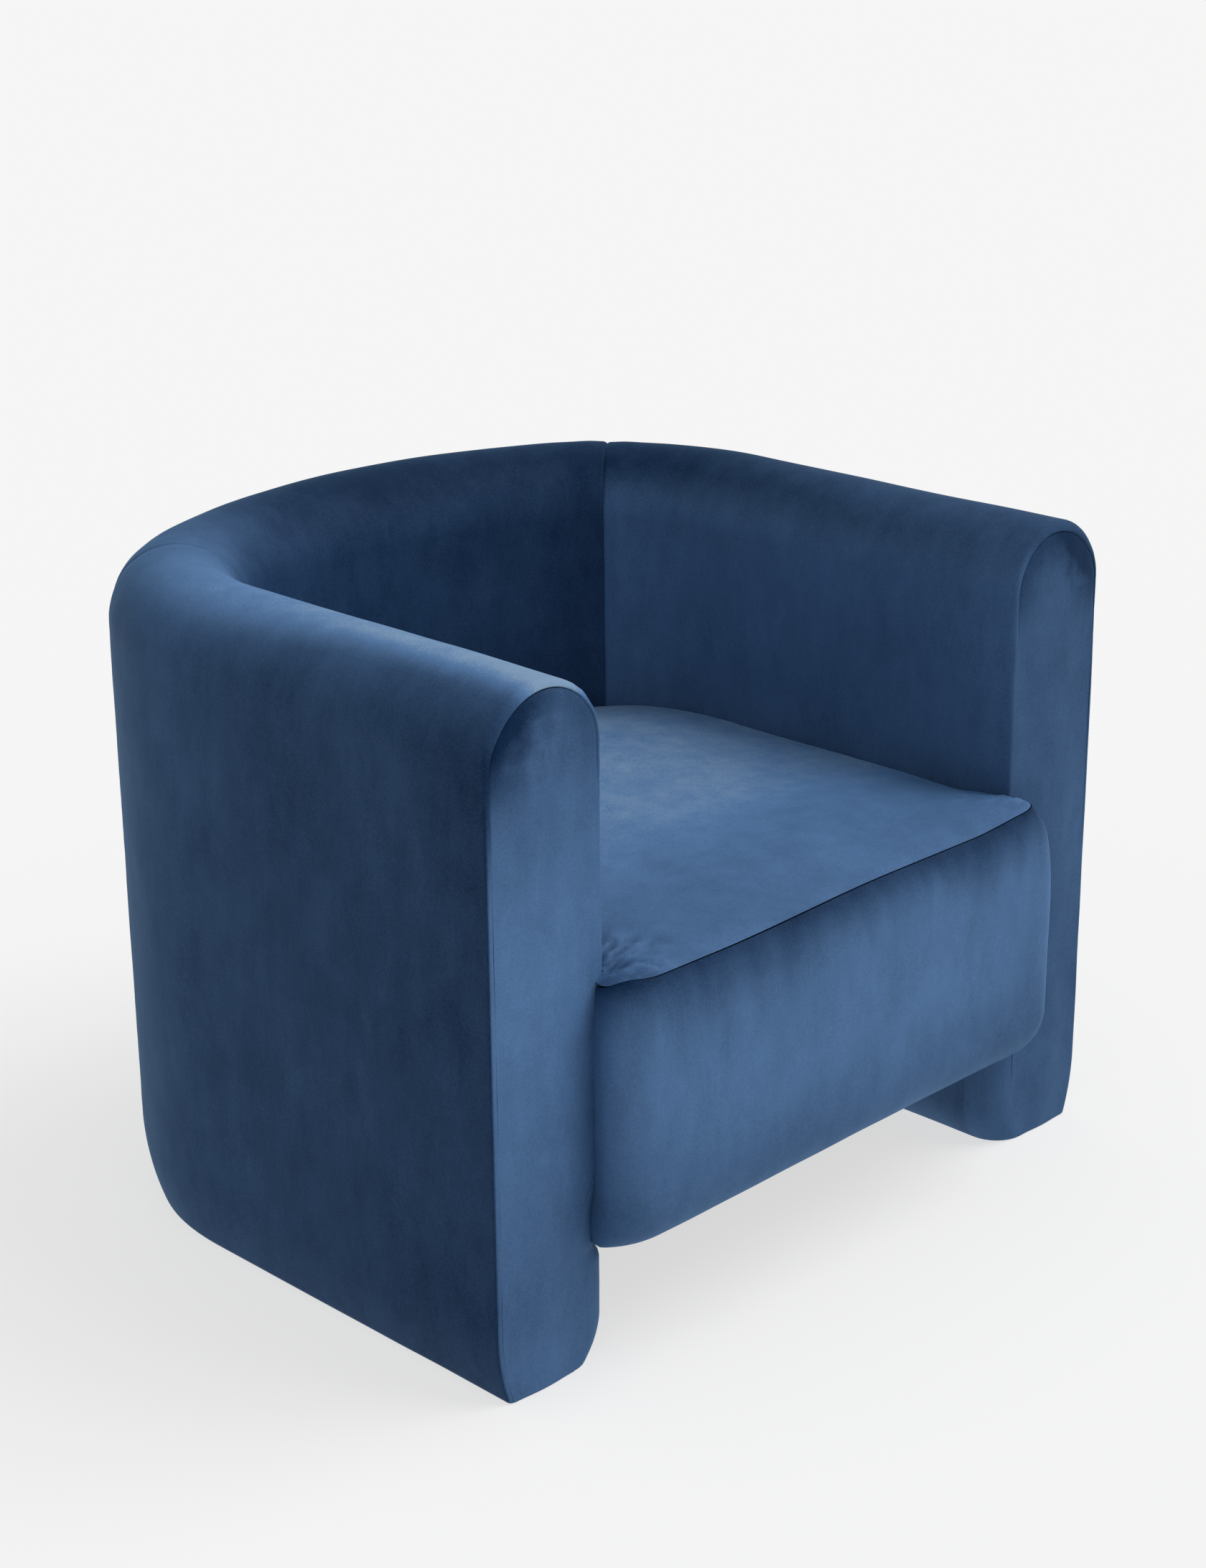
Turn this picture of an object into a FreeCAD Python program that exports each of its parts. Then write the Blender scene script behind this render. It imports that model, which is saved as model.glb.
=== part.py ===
import FreeCAD, Part
import math
import os
import Sketcher

# Barrel armchair: a U-shaped upholstered wall (left arm, back, right arm) with a rolled top,
# and a tight seat box between the arms whose padded nose laps over the arm fronts.
# Millimetres, +Z up, the seat faces -Y. Origin: middle of the footprint, on the floor.

os.makedirs("parts", exist_ok=True)
doc = FreeCAD.newDocument("armchair")
V = FreeCAD.Vector
TINY = 0.01

SIZES = [
    # alias, value or formula, what it is
    ("overall_width", "876 mm", "outside of arm to outside of arm"),
    ("overall_depth", "832 mm", "front of seat nose to back"),
    ("overall_height", "690 mm", "floor to top of the roll"),
    ("nose_reach", "58 mm", "how far the seat nose stands in front of the arms"),
    ("nose_lap", "24 mm", "how far the nose laps over each arm front"),
    ("nose_bottom", "120 mm", "underside of the seat box above the floor"),
    ("nose_round", "45 mm", "rounding of the nose"),
    ("wall", "140 mm", "thickness of arms and back"),
    ("corner_radius", "309 mm", "outside radius where arm turns into back"),
    ("back_radius", "618 mm", "outside radius of the back"),
    ("seam_angle", "42 deg", "seam between arm and back, from the arm's side"),
    ("seat_height", "420 mm", "top of the seat"),
    ("velvet", "2 mm", "velvet cover"),
    ("wadding", "8 mm", "polyester wadding"),
    ("liner", "4 mm", "bent plywood liner board"),
    ("frame_width", "86 mm", "width of the plywood rails"),
    ("plywood", "18 mm", "plywood thickness"),
    ("facing_foam", "12 mm", "foam on the arm front"),
    ("lip", "30 mm", "velvet turned under the base"),
    ("cambric", "1 mm", "dust cover cloth"),
    ("glide_height", "3 mm", "nylon glide"),
    ("glide_radius", "15 mm", "nylon glide"),
    ("stud", "44 mm", "square wooden stud"),
    ("rail", "22 mm", "seat rail thickness"),
    ("cleat", "20 mm", "cleat under the seat rails"),
    ("seat_play", "1 mm", "seat box to inner wall"),
    ("spring_wire", "4 mm", "sinuous spring wire"),
    ("spring_wave", "22 mm", "half width of a spring's wave"),
    ("spring_pitch", "100 mm", "spring to spring"),
    ("spring_bend", "12 mm", "half the pitch of a spring's zig-zag"),
    ("spring_end", "6 mm", "spring's ends from the seat box's outer faces"),
    ("cloth", "1.5 mm", "woven deck cloth"),
    ("slack", "0.5 mm", "springs to deck cloth"),
    ("foam_depth", "112 mm", "top of the seat above the front and rear rails"),
    ("roll_bed", "12 mm", "roll foam below the roll's centre"),
    ("rail_set", "8 mm", "rear seat rail behind the corner arcs' centres"),
    ("block_side", "70 mm", "short sides of a corner block"),
    ("block_height", "60 mm", "corner block"),
    ("block_lift", "40 mm", "corner block above the seat box's underside"),
    ("cleat_end", "80 mm", "cleat's ends from the front board and the rear rail"),
    ("cleat_drop", "60 mm", "cleat below the top of the front board"),
    ("arm_stud_y", "110 mm", "arm upright in front of the chair's middle"),
    ("back_stud_x", "150 mm", "back uprights and rear glides from the middle"),
    ("back_set", "20 mm", "back uprights and rear glides in front of the wall's middle line"),
    ("corner_turn", "15 deg", "corner upright along the corner arc"),
    ("glide_front", "40 mm", "front glide behind the arm front board"),
    ("flush", "0 mm", "no inset"),
    # worked out from the sizes above
    ("half_width", "=overall_width / 2", "outer face of the arm"),
    ("front_y", "=nose_reach - overall_depth / 2", "front of the arms"),
    ("back_y", "=overall_depth / 2", "back of the chair"),
    ("corner_x", "=half_width - corner_radius", "corner arc centre"),
    ("back_cy", "=back_y - back_radius", "back arc centre"),
    ("arc_gap", "=back_radius - corner_radius", "distance between arc centres"),
    ("corner_y", "=back_cy + sqrt(arc_gap * arc_gap - corner_x * corner_x)", "corner arc centre"),
    ("mid", "=wall / 2", "middle of the wall; also the roll radius"),
    ("path_radius", "=corner_radius - mid", "corner arc of the middle line"),
    ("join_sin", "=(corner_y - back_cy) / arc_gap", "corner arc to back arc"),
    ("seam_y", "=corner_y + path_radius * sin(seam_angle)", "end of the arm's middle line"),
    ("join_y", "=corner_y + path_radius * join_sin", "start of the back arc's middle line"),
    ("roll_z", "=overall_height - mid", "centre of the roll"),
    ("core_front", "=front_y + velvet + facing_foam + plywood", "front of the wall's filling"),
    ("pad_front", "=front_y + velvet", "front of the facing foam"),
    ("board_front", "=pad_front + facing_foam", "front of the arm front board"),
    ("base_z", "=glide_height + cambric", "underside of the base plates"),
    ("lip_z", "=base_z - velvet", "underside of the velvet lip"),
    ("base_top", "=base_z + plywood", "top of the base plates"),
    ("roll_base", "=roll_z - roll_bed", "underside of the roll foam"),
    ("rail_z", "=roll_base - plywood", "underside of the top rails"),
    ("liner_in", "=velvet + wadding", "outer liner, outer side"),
    ("frame_in", "=liner_in + liner", "rails, outer side"),
    ("frame_out", "=frame_in + frame_width", "rails, inner side"),
    ("foam_in", "=frame_out + liner", "inner foam, hidden side"),
    ("foam_out", "=wall - velvet", "inner foam, seat side"),
    ("lip_out", "=wall - lip", "inner velvet lip"),
    ("roll_core", "=mid - velvet", "radius of the roll foam"),
    ("seat_half", "=half_width - wall - seat_play", "half width of the seat box"),
    ("seat_corner", "=corner_radius - wall - seat_play", "rear corner of the seat"),
    ("seat_curve", "=back_radius - wall - seat_play", "rear curve of the seat"),
    ("seat_join", "=corner_y + seat_corner * join_sin", "rear corner to rear curve"),
    ("box_z", "=nose_bottom + velvet", "underside of the seat rails"),
    ("spring_seat", "=seat_height - foam_depth", "top of front and rear rails"),
    ("cloth_z", "=spring_seat + spring_wire + slack", "deck cloth"),
    ("foam_z", "=cloth_z + cloth", "underside of the seat foam"),
    ("wadding_z", "=seat_height - velvet - wadding", "underside of the seat wadding"),
    ("cover_z", "=seat_height - velvet", "underside of the seat velvet"),
    ("nose_half", "=half_width - wall + nose_lap", "half width of the nose"),
    ("rear_rail_y", "=corner_y + rail_set", "back of the rear seat rail"),
]

sheet = doc.addObject("Spreadsheet::Sheet", "sizes")
for row, (alias, value, meaning) in enumerate(SIZES, start=1):
    sheet.set("A%d" % row, alias)
    sheet.set("B%d" % row, value)
    sheet.set("C%d" % row, meaning)
    sheet.setAlias("B%d" % row, alias)
doc.recompute()


def size(alias):
    """One size as a number, in millimetres or degrees."""
    value = sheet.get(alias)
    return float(getattr(value, "Value", value))


def new_body(label):
    body = doc.addObject("PartDesign::Body", label)
    body.Label = label
    return body


def new_sketch(body, role, name, shift=None, turn=0.0):
    """A sketch on one of the body's origin planes. shift holds (axis, expression) pairs."""
    plane = next(f for f in body.Origin.OriginFeatures if f.Role == role)
    sketch = body.newObject("Sketcher::SketchObject", body.Label + "_" + name)
    sketch.AttachmentSupport = [(plane, "")]
    sketch.MapMode = "FlatFace"
    sketch.AttachmentOffset = FreeCAD.Placement(V(0, 0, 0), FreeCAD.Rotation(V(0, 1, 0), turn))
    for axis, expression in shift or []:
        sketch.setExpression(".AttachmentOffset.Base." + axis, expression)
    return sketch


def pin(sketch, edge, vertex, x_from=None, y_from=None, left=False, below=False):
    """Hold a sketch point at a distance from the origin, each distance being an expression."""
    if x_from:
        ends = (edge, vertex, -1, 1) if left else (-1, 1, edge, vertex)
        point = sketch.getPoint(edge, vertex)
        index = sketch.addConstraint(Sketcher.Constraint("DistanceX", *ends, abs(point.x)))
        sketch.setExpression("Constraints[%d]" % index, x_from)
    if y_from:
        ends = (edge, vertex, -1, 1) if below else (-1, 1, edge, vertex)
        point = sketch.getPoint(edge, vertex)
        index = sketch.addConstraint(Sketcher.Constraint("DistanceY", *ends, abs(point.y)))
        sketch.setExpression("Constraints[%d]" % index, y_from)


def hold_radius(sketch, edge, expression):
    radius = sketch.Geometry[edge].Radius
    index = sketch.addConstraint(Sketcher.Constraint("Radius", edge, radius))
    sketch.setExpression("Constraints[%d]" % index, expression)


def join(sketch, pairs):
    for first, first_end, second, second_end in pairs:
        sketch.addConstraint(Sketcher.Constraint("Coincident", first, first_end, second, second_end))


def arc(cx, cy, radius, start, end):
    """Counter-clockwise arc; angles in degrees."""
    circle = Part.Circle(V(cx, cy, 0), V(0, 0, 1), radius)
    return Part.ArcOfCircle(circle, math.radians(start), math.radians(end))


def spot(name):
    return "sizes." + name


SEAM = size("seam_angle")
JOIN = math.degrees(math.asin(size("join_sin")))


def arm_path(body, side, start):
    """Middle line of one arm: straight from the front, then round the corner to the seam."""
    left = side < 0
    sketch = new_sketch(body, "XY_Plane", "path")
    x = side * (size("half_width") - size("mid"))
    cx = side * size("corner_x")
    cy = size("corner_y")
    radius = size("path_radius")
    sketch.addGeometry(Part.LineSegment(V(x, size(start), 0), V(x, cy, 0)))
    ends = (180 - SEAM, 180) if left else (0, SEAM)
    sketch.addGeometry(arc(cx, cy, radius, *ends))
    join(sketch, [(0, 2, 1, 2 if left else 1)])
    sketch.addConstraint(Sketcher.Constraint("Vertical", 0))
    pin(sketch, 0, 1, y_from="-" + spot(start), below=True)
    pin(sketch, 1, 3, spot("corner_x"), spot("corner_y"), left=left)
    hold_radius(sketch, 1, spot("path_radius"))
    pin(sketch, 1, 2 if not left else 1, y_from=spot("seam_y"))
    pin(sketch, 0, 2, y_from=spot("corner_y"))
    return sketch


def back_path(body):
    """Middle line of the back, from the left seam to the right seam."""
    sketch = new_sketch(body, "XY_Plane", "path")
    cx = size("corner_x")
    cy = size("corner_y")
    radius = size("path_radius")
    sketch.addGeometry(arc(-cx, cy, radius, 180 - JOIN, 180 - SEAM))
    sketch.addGeometry(arc(0, size("back_cy"), size("back_radius") - size("mid"), JOIN, 180 - JOIN))
    sketch.addGeometry(arc(cx, cy, radius, SEAM, JOIN))
    join(sketch, [(0, 1, 1, 2), (1, 1, 2, 2)])
    for edge, left, seam_end, join_end in ((0, True, 2, 1), (2, False, 1, 2)):
        pin(sketch, edge, 3, spot("corner_x"), spot("corner_y"), left=left)
        hold_radius(sketch, edge, spot("path_radius"))
        pin(sketch, edge, seam_end, y_from=spot("seam_y"))
        pin(sketch, edge, join_end, y_from=spot("join_y"))
    pin(sketch, 1, 3, y_from="-" + spot("back_cy"), below=True)
    return sketch


def section_sketch(body, section, start):
    """Sketch across the wall at the section's start. Its x runs inwards from the outer face, y up."""
    if section == "left":
        return new_sketch(body, "XZ_Plane", "section",
                          [("x", "-sizes.half_width"), ("z", "-" + spot(start))])
    if section == "right":
        return new_sketch(body, "XZ_Plane", "section",
                          [("x", "sizes.half_width"), ("z", "-" + spot(start))], turn=180)
    return new_sketch(body, "XZ_Plane", "section",
                      [("x", "-sizes.corner_x - sizes.corner_radius * cos(sizes.seam_angle)"),
                       ("z", "-sizes.corner_y - sizes.corner_radius * sin(sizes.seam_angle)")],
                      turn=-SEAM)


def section_path(body, section, start):
    if section == "back":
        return back_path(body)
    return arm_path(body, -1 if section == "left" else 1, start)


def outline(sketch, points):
    """Closed run of straight edges; each point is a pair of size names."""
    places = [V(size(u), size(z), 0) for u, z in points]
    count = len(points)
    for i in range(count):
        sketch.addGeometry(Part.LineSegment(places[i], places[(i + 1) % count]))
    join(sketch, [(i, 2, (i + 1) % count, 1) for i in range(count)])
    for i, (u, z) in enumerate(points):
        pin(sketch, i, 1, spot(u), spot(z))


def sweep(body, section, sketch, start):
    path = section_path(body, section, start)
    doc.recompute()
    pipe = body.newObject("PartDesign::AdditivePipe", body.Label + "_sweep")
    pipe.Profile = sketch
    pipe.Spine = (path, ["Edge%d" % (i + 1) for i in range(len(path.Geometry))])
    pipe.Mode = "Frenet"
    pipe.Transition = "Transformed"
    return body


def band(label, section, u0, u1, z0, z1, start="board_front"):
    """A layer of the wall with a plain rectangular section."""
    body = new_body(label)
    sketch = section_sketch(body, section, start)
    outline(sketch, [(u0, z0), (u1, z0), (u1, z1), (u0, z1)])
    return sweep(body, section, sketch, start)


def roll_foam(label, section):
    """Half-round foam along the top of the wall."""
    body = new_body(label)
    sketch = section_sketch(body, section, "board_front")
    low, high = size("roll_base"), size("roll_z")
    u0, u1 = size("velvet"), size("foam_out")
    sketch.addGeometry(Part.LineSegment(V(u0, high, 0), V(u0, low, 0)))
    sketch.addGeometry(Part.LineSegment(V(u0, low, 0), V(u1, low, 0)))
    sketch.addGeometry(Part.LineSegment(V(u1, low, 0), V(u1, high, 0)))
    sketch.addGeometry(arc(size("mid"), high, size("roll_core"), 0, 180))
    join(sketch, [(0, 2, 1, 1), (1, 2, 2, 1), (2, 2, 3, 1), (3, 2, 0, 1)])
    pin(sketch, 0, 2, spot("velvet"), spot("roll_base"))
    pin(sketch, 1, 2, spot("foam_out"), spot("roll_base"))
    pin(sketch, 0, 1, spot("velvet"), spot("roll_z"))
    pin(sketch, 2, 2, spot("foam_out"), spot("roll_z"))
    pin(sketch, 3, 3, y_from=spot("roll_z"))
    return sweep(body, section, sketch, "board_front")


def wall_cover(label, section):
    """Velvet over both faces of the wall and its rolled top, turned under the base."""
    body = new_body(label)
    sketch = section_sketch(body, section, "front_y")
    corners = [
        ("nil", "roll_z"), ("nil", "lip_z"), ("lip", "lip_z"), ("lip", "base_z"),
        ("velvet", "base_z"), ("velvet", "roll_z"),
        ("foam_out", "roll_z"), ("foam_out", "base_z"), ("lip_out", "base_z"),
        ("lip_out", "lip_z"), ("wall", "lip_z"), ("wall", "roll_z"),
    ]
    places = [V(0 if u == "nil" else size(u), size(z), 0) for u, z in corners]
    straight = [(0, 1), (1, 2), (2, 3), (3, 4), (4, 5), (6, 7), (7, 8), (8, 9), (9, 10), (10, 11)]
    for first, last in straight:
        sketch.addGeometry(Part.LineSegment(places[first], places[last]))
    inner = sketch.addGeometry(arc(size("mid"), size("roll_z"), size("roll_core"), 0, 180))
    outer = sketch.addGeometry(arc(size("mid"), size("roll_z"), size("mid"), 0, 180))
    join(sketch, [(0, 2, 1, 1), (1, 2, 2, 1), (2, 2, 3, 1), (3, 2, 4, 1), (4, 2, inner, 2),
                  (inner, 1, 5, 1), (5, 2, 6, 1), (6, 2, 7, 1), (7, 2, 8, 1), (8, 2, 9, 1),
                  (9, 2, outer, 1), (outer, 2, 0, 1)])
    for edge, (first, _) in enumerate(straight):
        u, z = corners[first]
        if u == "nil":
            sketch.addConstraint(Sketcher.Constraint("PointOnObject", edge, 1, -2))
            pin(sketch, edge, 1, None, spot(z))
        else:
            pin(sketch, edge, 1, spot(u), spot(z))
    pin(sketch, 4, 2, spot("velvet"), spot("roll_z"))
    pin(sketch, 9, 2, spot("wall"), spot("roll_z"))
    pin(sketch, inner, 3, y_from=spot("roll_z"))
    pin(sketch, outer, 3, y_from=spot("roll_z"))
    return sweep(body, section, sketch, "front_y")


def pad_up(body, sketch, length, reverse=False):
    pad = body.newObject("PartDesign::Pad", body.Label + "_pad")
    pad.Profile = sketch
    pad.setExpression("Length", length)
    pad.Reversed = reverse
    return pad


def arm_front(label, side, front, thickness):
    """D-shaped piece across the arm's front, with the same half-round top as the roll."""
    body = new_body(label)
    turn = 0 if side < 0 else 180
    shift = [("x", ("-" if side < 0 else "") + "sizes.half_width"), ("z", "-" + spot(front))]
    sketch = new_sketch(body, "XZ_Plane", "outline", shift, turn)
    low, high = size("base_z"), size("roll_z")
    u0, u1 = size("velvet"), size("foam_out")
    sketch.addGeometry(Part.LineSegment(V(u0, high, 0), V(u0, low, 0)))
    sketch.addGeometry(Part.LineSegment(V(u0, low, 0), V(u1, low, 0)))
    sketch.addGeometry(Part.LineSegment(V(u1, low, 0), V(u1, high, 0)))
    sketch.addGeometry(arc(size("mid"), high, size("roll_core"), 0, 180))
    join(sketch, [(0, 2, 1, 1), (1, 2, 2, 1), (2, 2, 3, 1), (3, 2, 0, 1)])
    pin(sketch, 0, 2, spot("velvet"), spot("base_z"))
    pin(sketch, 1, 2, spot("foam_out"), spot("base_z"))
    pin(sketch, 0, 1, spot("velvet"), spot("roll_z"))
    pin(sketch, 2, 2, spot("foam_out"), spot("roll_z"))
    pin(sketch, 3, 3, y_from=spot("roll_z"))
    pad_up(body, sketch, spot(thickness), reverse=side < 0)
    return body


def seat_slab(label, z, thickness, front="front_y"):
    """Layer of the seat: straight sides, rear corners and rear curve following the inner wall."""
    body = new_body(label)
    sketch = new_sketch(body, "XY_Plane", "outline", [("z", spot(z))])
    half, front_at = size("seat_half"), size(front)
    cx, cy = size("corner_x"), size("corner_y")
    radius = size("seat_corner")
    sketch.addGeometry(Part.LineSegment(V(-half, cy, 0), V(-half, front_at, 0)))
    sketch.addGeometry(Part.LineSegment(V(-half, front_at, 0), V(half, front_at, 0)))
    sketch.addGeometry(Part.LineSegment(V(half, front_at, 0), V(half, cy, 0)))
    sketch.addGeometry(arc(cx, cy, radius, 0, JOIN))
    sketch.addGeometry(arc(0, size("back_cy"), size("seat_curve"), JOIN, 180 - JOIN))
    sketch.addGeometry(arc(-cx, cy, radius, 180 - JOIN, 180))
    join(sketch, [(0, 2, 1, 1), (1, 2, 2, 1), (2, 2, 3, 1), (3, 2, 4, 1), (4, 2, 5, 1), (5, 2, 0, 1)])
    pin(sketch, 1, 1, spot("seat_half"), "-" + spot(front), left=True, below=True)
    pin(sketch, 1, 2, spot("seat_half"), "-" + spot(front), below=True)
    pin(sketch, 3, 3, spot("corner_x"), spot("corner_y"))
    pin(sketch, 5, 3, spot("corner_x"), spot("corner_y"), left=True)
    pin(sketch, 0, 1, spot("seat_half"), spot("corner_y"), left=True)
    pin(sketch, 2, 2, spot("seat_half"), spot("corner_y"))
    pin(sketch, 3, 2, y_from=spot("seat_join"))
    pin(sketch, 5, 1, y_from=spot("seat_join"))
    pin(sketch, 4, 3, y_from="-" + spot("back_cy"), below=True)
    pad_up(body, sketch, thickness)
    return body


def plank(label, x0, y0, z0, length, width, height):
    """Square-edged board; every argument is an expression."""
    box = doc.addObject("Part::Box", label)
    box.Label = label
    box.setExpression("Placement.Base.x", x0)
    box.setExpression("Placement.Base.y", y0)
    box.setExpression("Placement.Base.z", z0)
    box.setExpression("Length", length)
    box.setExpression("Width", width)
    box.setExpression("Height", height)
    return box


def nose(label, inset, depth):
    """Rounded block in front of the seat. The size named inset is taken off every side but the back."""
    body = new_body(label)
    sketch = new_sketch(body, "XZ_Plane", "outline", [("z", "-sizes.front_y")])
    take = size(inset)
    half = size("nose_half") - take
    low, high = size("nose_bottom") + take, size("seat_height") - take
    corners = [V(-half, low, 0), V(half, low, 0), V(half, high, 0), V(-half, high, 0)]
    for i in range(4):
        sketch.addGeometry(Part.LineSegment(corners[i], corners[(i + 1) % 4]))
    join(sketch, [(0, 2, 1, 1), (1, 2, 2, 1), (2, 2, 3, 1), (3, 2, 0, 1)])
    wide = "sizes.nose_half - " + spot(inset)
    pin(sketch, 0, 1, wide, "sizes.nose_bottom + " + spot(inset), left=True)
    pin(sketch, 0, 2, wide, "sizes.nose_bottom + " + spot(inset))
    pin(sketch, 2, 1, wide, "sizes.seat_height - " + spot(inset))
    pin(sketch, 2, 2, wide, "sizes.seat_height - " + spot(inset), left=True)
    pad = pad_up(body, sketch, depth)
    doc.recompute()
    # every edge is rounded but the four at the back
    back = max(v.Point.y for v in pad.Shape.Vertexes)
    rounded = ["Edge%d" % i for i, e in enumerate(pad.Shape.Edges, 1)
               if any(back - v.Point.y > TINY for v in e.Vertexes)]
    fillet = body.newObject("PartDesign::Fillet", label + "_round")
    fillet.Base = (pad, rounded)
    fillet.setExpression("Radius", "sizes.nose_round - " + spot(inset))
    return body


def stud(label, x, y):
    """Upright between base plate and top rail; x and y are its middle line."""
    plank(label, x + " - sizes.stud / 2", y + " - sizes.stud / 2", "sizes.base_top",
          "sizes.stud", "sizes.stud", "sizes.rail_z - sizes.base_top")


def corner_block(label, x, y, x_way, y_way):
    """Triangular glue block in a corner of the seat box."""
    body = new_body(label)
    sketch = new_sketch(body, "XY_Plane", "outline", [("z", "sizes.box_z + sizes.block_lift")])
    leg = size("block_side")
    at = V(x, y, 0)
    places = [at, at + V(x_way * leg, 0, 0), at + V(0, y_way * leg, 0)]
    for i in range(3):
        sketch.addGeometry(Part.LineSegment(places[i], places[(i + 1) % 3]))
    join(sketch, [(0, 2, 1, 1), (1, 2, 2, 1), (2, 2, 0, 1)])
    sketch.addConstraint(Sketcher.Constraint("Horizontal", 0))
    sketch.addConstraint(Sketcher.Constraint("Vertical", 2))
    left = x < 0
    below = y < 0
    y_text = "-(sizes.front_y + sizes.plywood)" if below else "sizes.rear_rail_y - sizes.rail"
    pin(sketch, 0, 1, "sizes.seat_half - sizes.rail", y_text, left=left, below=below)
    index = sketch.addConstraint(Sketcher.Constraint("Distance", 0, leg))
    sketch.setExpression("Constraints[%d]" % index, spot("block_side"))
    sketch.addConstraint(Sketcher.Constraint("Equal", 0, 2))
    pad_up(body, sketch, spot("block_height"))
    return body


def rear_deck(label):
    """Plywood shelf from the rear seat rail back to the inner wall."""
    body = new_body(label)
    sketch = new_sketch(body, "XY_Plane", "outline", [("z", "sizes.cloth_z - sizes.plywood")])
    cx, cy = size("corner_x"), size("corner_y")
    radius = size("seat_corner")
    front = size("rear_rail_y")
    start = math.degrees(math.asin((front - cy) / radius))
    reach = radius * math.cos(math.radians(start))
    sketch.addGeometry(Part.LineSegment(V(-cx - reach, front, 0), V(cx + reach, front, 0)))
    sketch.addGeometry(arc(cx, cy, radius, start, JOIN))
    sketch.addGeometry(arc(0, size("back_cy"), size("seat_curve"), JOIN, 180 - JOIN))
    sketch.addGeometry(arc(-cx, cy, radius, 180 - JOIN, 180 - start))
    join(sketch, [(0, 2, 1, 1), (1, 2, 2, 1), (2, 2, 3, 1), (3, 2, 0, 1)])
    for edge, left in ((1, False), (3, True)):
        pin(sketch, edge, 3, spot("corner_x"), spot("corner_y"), left=left)
        hold_radius(sketch, edge, spot("seat_corner"))
    pin(sketch, 1, 1, y_from=spot("rear_rail_y"))
    pin(sketch, 3, 2, y_from=spot("rear_rail_y"))
    pin(sketch, 1, 2, y_from=spot("seat_join"))
    pin(sketch, 3, 1, y_from=spot("seat_join"))
    pin(sketch, 2, 3, y_from="-" + spot("back_cy"), below=True)
    pad_up(body, sketch, spot("plywood"))
    return body


def spring(label, x):
    """Flat zig-zag spring wire from the front board to the rear rail."""
    body = new_body(label)
    bend = size("spring_bend")
    reach = size("spring_wave") - bend
    first = size("front_y") + size("spring_end")
    turns = int((size("rear_rail_y") - size("spring_end") - first) / (2 * bend))
    path = new_sketch(body, "XY_Plane", "path",
                      [("z", "sizes.spring_seat + sizes.spring_wire / 2")])
    y = first
    side = 1
    path.addGeometry(Part.LineSegment(V(x, y, 0), V(x + reach, y, 0)))
    for turn in range(turns):
        centre_x = x + side * reach
        if side > 0:
            path.addGeometry(arc(centre_x, y + bend, bend, -90, 90))
        else:
            path.addGeometry(arc(centre_x, y + bend, bend, 90, 270))
        y += 2 * bend
        far = x if turn == turns - 1 else x - side * reach
        path.addGeometry(Part.LineSegment(V(centre_x, y, 0), V(far, y, 0)))
        side = -side
    circle = new_sketch(body, "YZ_Plane", "wire", [("z", "%f mm" % x)])
    circle.addGeometry(Part.Circle(V(first, size("spring_seat") + size("spring_wire") / 2, 0),
                                   V(0, 0, 1), size("spring_wire") / 2))
    hold_radius(circle, 0, "sizes.spring_wire / 2")
    doc.recompute()
    pipe = body.newObject("PartDesign::AdditivePipe", label + "_sweep")
    pipe.Profile = circle
    pipe.Spine = (path, ["Edge%d" % (i + 1) for i in range(len(path.Geometry))])
    return body


SECTIONS = ("left", "back", "right")
for section in SECTIONS:
    band("base_plate_" + section, section, "frame_in", "foam_in", "base_z", "base_top", "core_front")
    band("top_rail_" + section, section, "frame_in", "frame_out", "rail_z", "roll_base", "core_front")
    band("outer_liner_" + section, section, "liner_in", "frame_in", "base_top", "roll_base")
    band("inner_liner_" + section, section, "frame_out", "foam_in", "base_top", "roll_base")
    band("outer_wadding_" + section, section, "velvet", "liner_in", "base_z", "roll_base")
    band("inner_foam_" + section, section, "foam_in", "foam_out", "base_top", "roll_base")
    band("dust_cloth_" + section, section, "lip", "foam_in", "glide_height", "base_z", "core_front")
    roll_foam("roll_foam_" + section, section)
    wall_cover("velvet_" + section, section)

for name, side in (("left", -1), ("right", 1)):
    board_x = "-sizes.half_width + sizes.frame_in" if side < 0 else "sizes.half_width - sizes.frame_out"
    plank("front_board_" + name, board_x, "sizes.board_front", "sizes.base_z",
          "sizes.frame_width", "sizes.plywood", "sizes.roll_base - sizes.base_z")
    arm_front("front_foam_" + name, side, "pad_front", "facing_foam")
    arm_front("velvet_front_" + name, side, "front_y", "velvet")

for name, sign in (("left", "-"), ("right", "")):
    stud("stud_arm_" + name, sign + "(sizes.half_width - sizes.mid)", "-sizes.arm_stud_y")
    stud("stud_corner_" + name, sign + "(sizes.corner_x + sizes.path_radius * cos(sizes.corner_turn))",
         "sizes.corner_y + sizes.path_radius * sin(sizes.corner_turn)")
    stud("stud_back_" + name, sign + "sizes.back_stud_x", "sizes.back_y - sizes.mid - sizes.back_set")

plank("seat_front_board", "-sizes.seat_half", "sizes.front_y", "sizes.box_z",
      "2 * sizes.seat_half", "sizes.plywood", "sizes.spring_seat - sizes.box_z")
plank("seat_rail_rear", "-sizes.seat_half", "sizes.rear_rail_y - sizes.rail", "sizes.box_z",
      "2 * sizes.seat_half", "sizes.rail", "sizes.spring_seat - sizes.box_z")
for name, left_x in (("left", "-sizes.seat_half"), ("right", "sizes.seat_half - sizes.rail")):
    plank("seat_rail_" + name, left_x, "sizes.front_y + sizes.plywood", "sizes.box_z", "sizes.rail",
          "sizes.rear_rail_y - sizes.rail - sizes.front_y - sizes.plywood",
          "sizes.cloth_z - sizes.box_z")

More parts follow.
